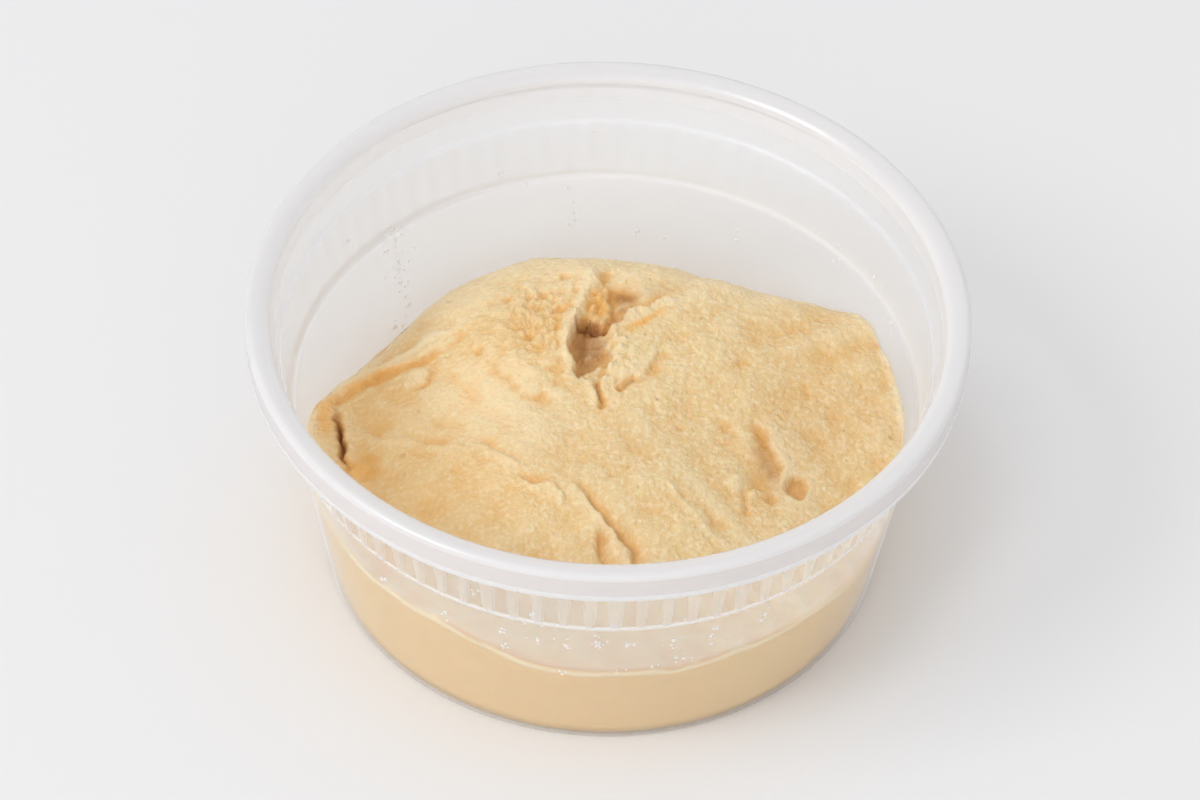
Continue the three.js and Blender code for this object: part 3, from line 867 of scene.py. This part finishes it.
# %% [markdown]
# ## Hummus: the material
#
# Hummus is a wet paste of chickpeas and sesame: pale tan, satin rather than shiny, with light going
# half a millimetre into it. Subsurface scattering gives that soft glow. Five attributes on the
# points change its colour, since a painted picture would need the heap unwrapped:
#
# - a pale one: paler paste near its thin edge and on a flap, and painted light on slopes, lips and
#   ridges that face the lamp and on the grain's crests;
# - a warm, orange one: a lump and torn paste, and painted shade on slopes and under lips and
#   folds turned from the lamp, and in the grain's hollows;
# - a brown one: painted shade in holes, creases and the pit, browner where light bounces about in
#   them, and faintly on the right slope, the middle and the front, where less light falls;
# - a wet one, where it is pressed against the wall;
# - one for the edge: painted light along it, where the paste meets the wall, and two smears of
#   paste by it on the right.

# %% Hummus: colour zones
# Each zone is a row of dabs, whose sixth number is here a share of the zone's colour.
ZONES = {
    # paler paste at the edge and a flap, and painted light on lit slopes, lips and ridges
    "pale": [
        (0, -42, 26, 5, 0, 0.3, 1), (-19, 0, 13, 8, -35, 0.7, 1), (-5, 26, 28, 6, 0, 0.35, 1),
        (-5.8, 18, 9, 1.4, 80, 0.6, 1), (5, 8, 5, 3.4, 80, 0.2, 2), (7, 18.9, 5.5, 0.5, 38, 0.9, 1),
        (-33, 15.2, 10, 1.1, 22, 0.8, 1), (29, -6, 5, 1.2, -60, 0.5, 1),
    ],
    # an orange lump and torn paste, and painted shade on slopes and under lips turned from the lamp
    "warm": [
        (-30, -18, 18, 14, -35, 0.4, 1), (-37, 3, 9, 8, 60, 0.28, 1), (-33, 21, 11, 5, 40, 0.15, 1),
        (-14, 14, 11, 8, 40, 0.35, 1), (38, 8, 14, 18, 0, 0.1, 1), (-39.7, -9, 2, 1.5, 0, 1.0, 1),
        (-46, 3, 6, 1.4, 95, 0.8, 1), (-41, 10.2, 5, 0.9, 35, 0.7, 1),
        (-34, 12.6, 4, 0.7, 0, 0.6, 1), (-1.4, 20.5, 5, 1.7, 85, 0.9, 1),
        (6.2, 17.6, 4, 0.8, 37, 0.9, 1), (2, 24, 2.2, 1.5, 0, 0.7, 1),
        (26.5, -7, 5, 2, -70, 0.4, 1), (0, -29, 6, 4, 0, 0.12, 1),
    ],
    # painted shade in holes, creases and less lit slopes, browner for the light bouncing about
    "hollow_shade": [
        (-33, 21, 11, 5, 40, 0.12, 1), (-3.2, 12.9, 3.6, 2.8, 86, 0.68, 2),
        (-2.8, 15.6, 3.0, 0.8, 5, 0.8, 2), (-2.2, 8, 3.2, 2.2, 65, 0.3, 1),
        (31.3, -11.4, 2.3, 1.85, 75, 0.03, 4), (-43.2, -1.5, 6.5, 0.8, 99, 0.9, 1),
        (1.3, 16.1, 0.6, 0.6, 0, 0.8, 1), (26.5, -8.5, 5, 1.8, -75, 0.45, 1),
        (0.2, -28.5, 3, 1.6, 80, 0.15, 1), (0, -36, 24, 8, 0, 0.1, 1), (37, 4, 13, 18, 0, 0.09, 1),
        (4, -9, 20, 9, 0, 0.06, 1), (2.4, 21, 4.5, 2.4, 55, 0.25, 1), (8, 25, 5, 1.6, 20, 0.15, 1),
        (2.2, 23.6, 1.7, 1.1, 20, 0.6, 1),
    ],
    "wet": [],
    # two smears of paste on the wall; the line along the edge is painted light, below
    "film_and_edge_light": [(45.7, 18.5, 7, 0.5, 112, 1.0, 2), (48.4, 6.8, 7, 0.5, 98, 1.0, 2)],
}  # fmt: skip
EDGE_STRIP = (0.962, 0.985)  # between these shares of the radius the paste turns thin and paler
# the line along the edge is painted light, where the paste meets the wall
FILM_FROM = 0.997  # outside this share of the radius the edge and its first rows are all film
FILM_ROWS = 3
FULL_TINT = 0.3  # mm above or below its surroundings that colour a point fully
# Painted light and shade: how much of a zone's colour the crests get, or the hollows with a minus.
CREST_LIGHT_HOLLOW_SHADE = {"pale": 0.5, "warm": -0.6, "hollow_shade": -0.12}
GRAIN_PASSES = 3  # of blurring, which leave the heap with its lumps
AROUND_PASSES = 40  # which leave only the shape of the surroundings


def blurred(heights, passes):
    """Heights of a square grid, each shared out with its four neighbours many times over."""
    for _ in range(passes):
        wide = np.pad(heights, 1, mode="edge")
        beside_it = wide[:-2, 1:-1] + wide[2:, 1:-1] + wide[1:-1, :-2] + wide[1:-1, 2:]
        heights = (heights + beside_it) / 5
    return heights


# Painted light and shade: how far each point stands above its blurred surroundings.
top_grid = z[top].reshape(CELLS + 1, CELLS + 1)
above = (blurred(top_grid, GRAIN_PASSES) - blurred(top_grid, AROUND_PASSES)).ravel()
above = (above / FULL_TINT).clip(-1, 1)
for zone, shapes in ZONES.items():
    share = np.zeros(len(places))
    share[top] = (above * CREST_LIGHT_HOLLOW_SHADE.get(zone, 0)).clip(0)
    for shape in shapes:
        share[top] += dab(shape, aside_x, aside_y)
    if zone == "pale":
        share[top] += smoothstep(*EDGE_STRIP, share_r[top])
    if zone == "wet":
        share[side] = 1
    # painted light all along the edge, where the paste meets the wall
    if zone == "film_and_edge_light":
        share[(share_r > FILM_FROM) & (row < FILM_ROWS)] = 1
    values = hummus_mesh.attributes.new(zone, "FLOAT", "POINT").data
    values.foreach_set("value", np.clip(share, 0, 1))
print("zones:", ", ".join(ZONES))

# %% Hummus: the piece
POLE = 0.005 * MM  # points nearer than this, under the heap's middle, become one

hummus_mesh.vertices.foreach_set("co", (np.stack([x, y, z], axis=1) * MM).ravel())
heap = bmesh.new()
heap.from_mesh(hummus_mesh)
bmesh.ops.remove_doubles(heap, verts=heap.verts, dist=POLE)
bmesh.ops.recalc_face_normals(heap, faces=heap.faces)
for face in heap.faces:
    face.smooth = True
heap.to_mesh(hummus_mesh)
print(f"hummus: {len(heap.faces)} faces, {heap.calc_volume() / MM**3 / 1000:.0f} ml")
heap.free()


# %% Hummus: the paste's colour
PASTE_COLOUR = "F2D7A1"
CLOUD_SIZE, CLOUD_COLOUR = 9 * MM, "EBCA91"  # where the paste was stirred less evenly
SPECK_SIZE, SPECK_COLOUR = 0.9 * MM, "F8E3B8"  # ground chickpea
FLECK_SIZE, FLECK_COLOUR = 2.4 * MM, "B98A55"  # a few bits of skin and spice
FLECK_FLAT = 2.2  # how many times wider than high the flecks lie
ZONE_COLOURS = {
    "wet": "EFCD94",
    # paler paste, and painted light
    "pale": "FAE5BC",
    # orange paste, and painted shade
    "warm": "F7BF6E",
    # painted shade
    "hollow_shade": "A66E3A",
    # smeared paste, and painted light along the edge
    "film_and_edge_light": "F9E5BF",
}

paste, nodes = new_material("hummus_paste")
place = add(nodes, "TexCoord").outputs["Object"]
clouds = add(nodes, "TexNoise", Vector=place, Scale=1 / CLOUD_SIZE, Detail=3.0)
specks = add(nodes, "TexNoise", Vector=place, Scale=1 / SPECK_SIZE, Detail=2.0)
specks = add(nodes, "MapRange", Value=specks.outputs[0], From_Min=0.48, From_Max=0.66, To_Max=0.9)
flat = add(nodes, "Mapping", Vector=place, Scale=(1, 1, FLECK_FLAT))
flecks = add(nodes, "TexNoise", Vector=flat.outputs[0], Scale=1 / FLECK_SIZE, Detail=1.0)
flecks = add(nodes, "MapRange", Value=flecks.outputs[0], From_Min=0.75, From_Max=0.79, To_Max=0.45)
layers = [
    (clouds.outputs[0], CLOUD_COLOUR),
    (specks.outputs[0], SPECK_COLOUR),
    (flecks.outputs[0], FLECK_COLOUR),
]
for zone, tint in ZONE_COLOURS.items():
    layers.append((add(nodes, "Attribute", {"attribute_name": zone}).outputs["Fac"], tint))
# A layer's share goes from the colours under it, at 0, to its own colour, at 1.
colour = linear(PASTE_COLOUR)
for share, tint in layers:
    mix = add(nodes, "Mix", {"data_type": "RGBA"}, _0=share, _6=colour, _7=linear(tint))
    colour = mix.outputs[2]
print(f"paste: {len(layers)} layers of colour")

# %% Hummus: the paste's grain and glow
GRAIN_SIZE = 0.8 * MM  # finer lumps than the mesh can hold
GRAIN_DEPTH = 0.45 * MM
GLOW_REACH = 0.6 * MM

grain = add(nodes, "TexNoise", Vector=place, Scale=1 / GRAIN_SIZE, Detail=3.0)
relief = add(nodes, "Bump", Height=grain.outputs[0], Strength=1.0, Distance=GRAIN_DEPTH)
shader = add(
    nodes,
    "BsdfPrincipled",
    Base_Color=colour,
    Roughness=0.5,
    IOR=1.45,  # between water's 1.33 and sesame oil's 1.47
    Subsurface_Weight=0.5,
    Subsurface_Radius=(1.0, 0.6, 0.3),  # red light goes furthest
    Subsurface_Scale=GLOW_REACH,
    Normal=relief.outputs[0],
)
add(nodes, "OutputMaterial", Surface=shader.outputs[0])
hummus_mesh.materials.append(paste)
hummus_heap = put_in_scene("hummus_heap", hummus_mesh)
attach(hummus_heap, "root")
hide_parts("hummus")

# %% [markdown]
# ## Condensation
#
# Damp air leaves droplets on the cold wall: at the back on its inside, and in front on its outside.
# Each is a small ball pressed flat and half sunk into the wall, so it stands out as a dome. They
# come in clusters, scattered by a random generator with a fixed seed.

# %% Droplets: shape
# Clusters on the wall: (azimuth, height, spread in degrees, spread in millimetres, how many).
CLUSTERS = [
    (-133, 25.9, 1, 1, 2), (-119, 25.6, 1, 1, 3), (-113, 37.7, 1, 1, 3), (-110.6, 37.8, 1, 1, 3),
    (-107, 27, 0.6, 1, 4), (-106.5, 22.5, 0.7, 0.7, 4), (-105, 32.5, 0.8, 1, 3),
    (-101, 34.2, 0.8, 0.8, 5), (-100.6, 26.8, 0.7, 0.7, 3), (-97.6, 32.3, 1, 0.8, 4),
    (-95.5, 26.8, 0.8, 0.8, 5), (-98, 29.5, 2, 2, 4), (-89.7, 28.6, 0.8, 1.2, 12),
    (-87.3, 33.9, 0.6, 0.6, 3), (-84.6, 27.9, 0.7, 0.7, 4), (-97, 18.4, 1, 0.5, 3),
    (-77.1, 25.7, 0.8, 1, 4), (-68.3, 28.8, 0.5, 1, 4), (-68.2, 25.3, 0.5, 0.6, 2),
    (-58.3, 27.5, 0.9, 1, 4), (-74.8, 33.9, 0.8, 0.8, 3), (-85.7, 20.2, 0.8, 0.4, 3),
    (-79.7, 20.8, 0.8, 0.3, 3), (-73, 21, 1.5, 0.8, 5), (136, 26.5, 1.5, 4, 30),
    (135.4, 19.5, 1, 2, 8), (139, 15.5, 1, 2, 5), (146, 37.1, 1, 1, 3), (110, 35.5, 0.5, 1, 2),
    (107, 32.3, 0.5, 1, 2), (98, 29.5, 0.5, 4, 6), (85, 21.4, 0.5, 0.5, 2), (79, 21.6, 0.5, 0.5, 1),
    (64.5, 25.9, 0.5, 1, 2), (42, 33, 1, 1, 4), (29, 35.2, 1, 1, 4), (22, 31.8, 1, 1, 3),
    (94, 39.7, 1, 1, 2),
]  # fmt: skip
DROP_R = (0.16, 0.42)  # of the smallest and the largest droplet
SMALL_ONES = 1.5  # a power that makes small droplets more common than large ones
WIDER = 1.2  # the clusters spread this much wider along the wall than their rows say
DROP_FLATNESS = 0.6  # how far a droplet stands out, as a share of its radius
SEED = 7
chance = np.random.default_rng(SEED)
drops = bmesh.new()
for azimuth, height, wide, high, count in CLUSTERS:
    for _ in range(count):
        angle = radians(azimuth + WIDER * wide * chance.normal())
        z = height + high * chance.normal()
        size = DROP_R[0] + (DROP_R[1] - DROP_R[0]) * chance.random() ** SMALL_ONES
        radius = inner_radius(z) + (WALL if azimuth < 0 else 0)
        flat = Matrix.Diagonal((DROP_FLATNESS * size * MM, size * MM, size * MM, 1))
        at = Matrix.Translation(Vector((radius * cos(angle), radius * sin(angle), z)) * MM)
        bmesh.ops.create_icosphere(
            drops, subdivisions=2, radius=1, matrix=at @ Matrix.Rotation(angle, 4, "Z") @ flat
        )
for face in drops.faces:
    face.smooth = True
drops_mesh = bpy.data.meshes.new("droplets")
drops.to_mesh(drops_mesh)
drops.free()
print(f"droplets: {len(drops_mesh.polygons)} faces")

# %% Droplets: water
# A bead of water gathers the light of the whole room: it is clear in the middle and white at its
# edge. Water that bends light would show that only with many more rays, so a skin that is clear in
# the middle and faintly mirror-like stands in for it.
water, nodes = new_material("water_condensed")
facing = add(nodes, "LayerWeight", Blend=0.5).outputs["Facing"]
bead = add(nodes, "MapRange", Value=facing, From_Min=0.1, From_Max=0.7, To_Min=0.35, To_Max=0.95)
shader = add(
    nodes,
    "BsdfPrincipled",
    Base_Color=linear("FFFFFF"),
    Metallic=0.2,
    Roughness=0.1,
    Alpha=bead.outputs[0],
)
add(nodes, "OutputMaterial", Surface=shader.outputs[0])
drops_mesh.materials.append(water)
droplets = put_in_scene("droplets", drops_mesh)
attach(droplets, "root")
print(f"{droplets.name}: one piece, with {sum(row[-1] for row in CLUSTERS)} droplets")
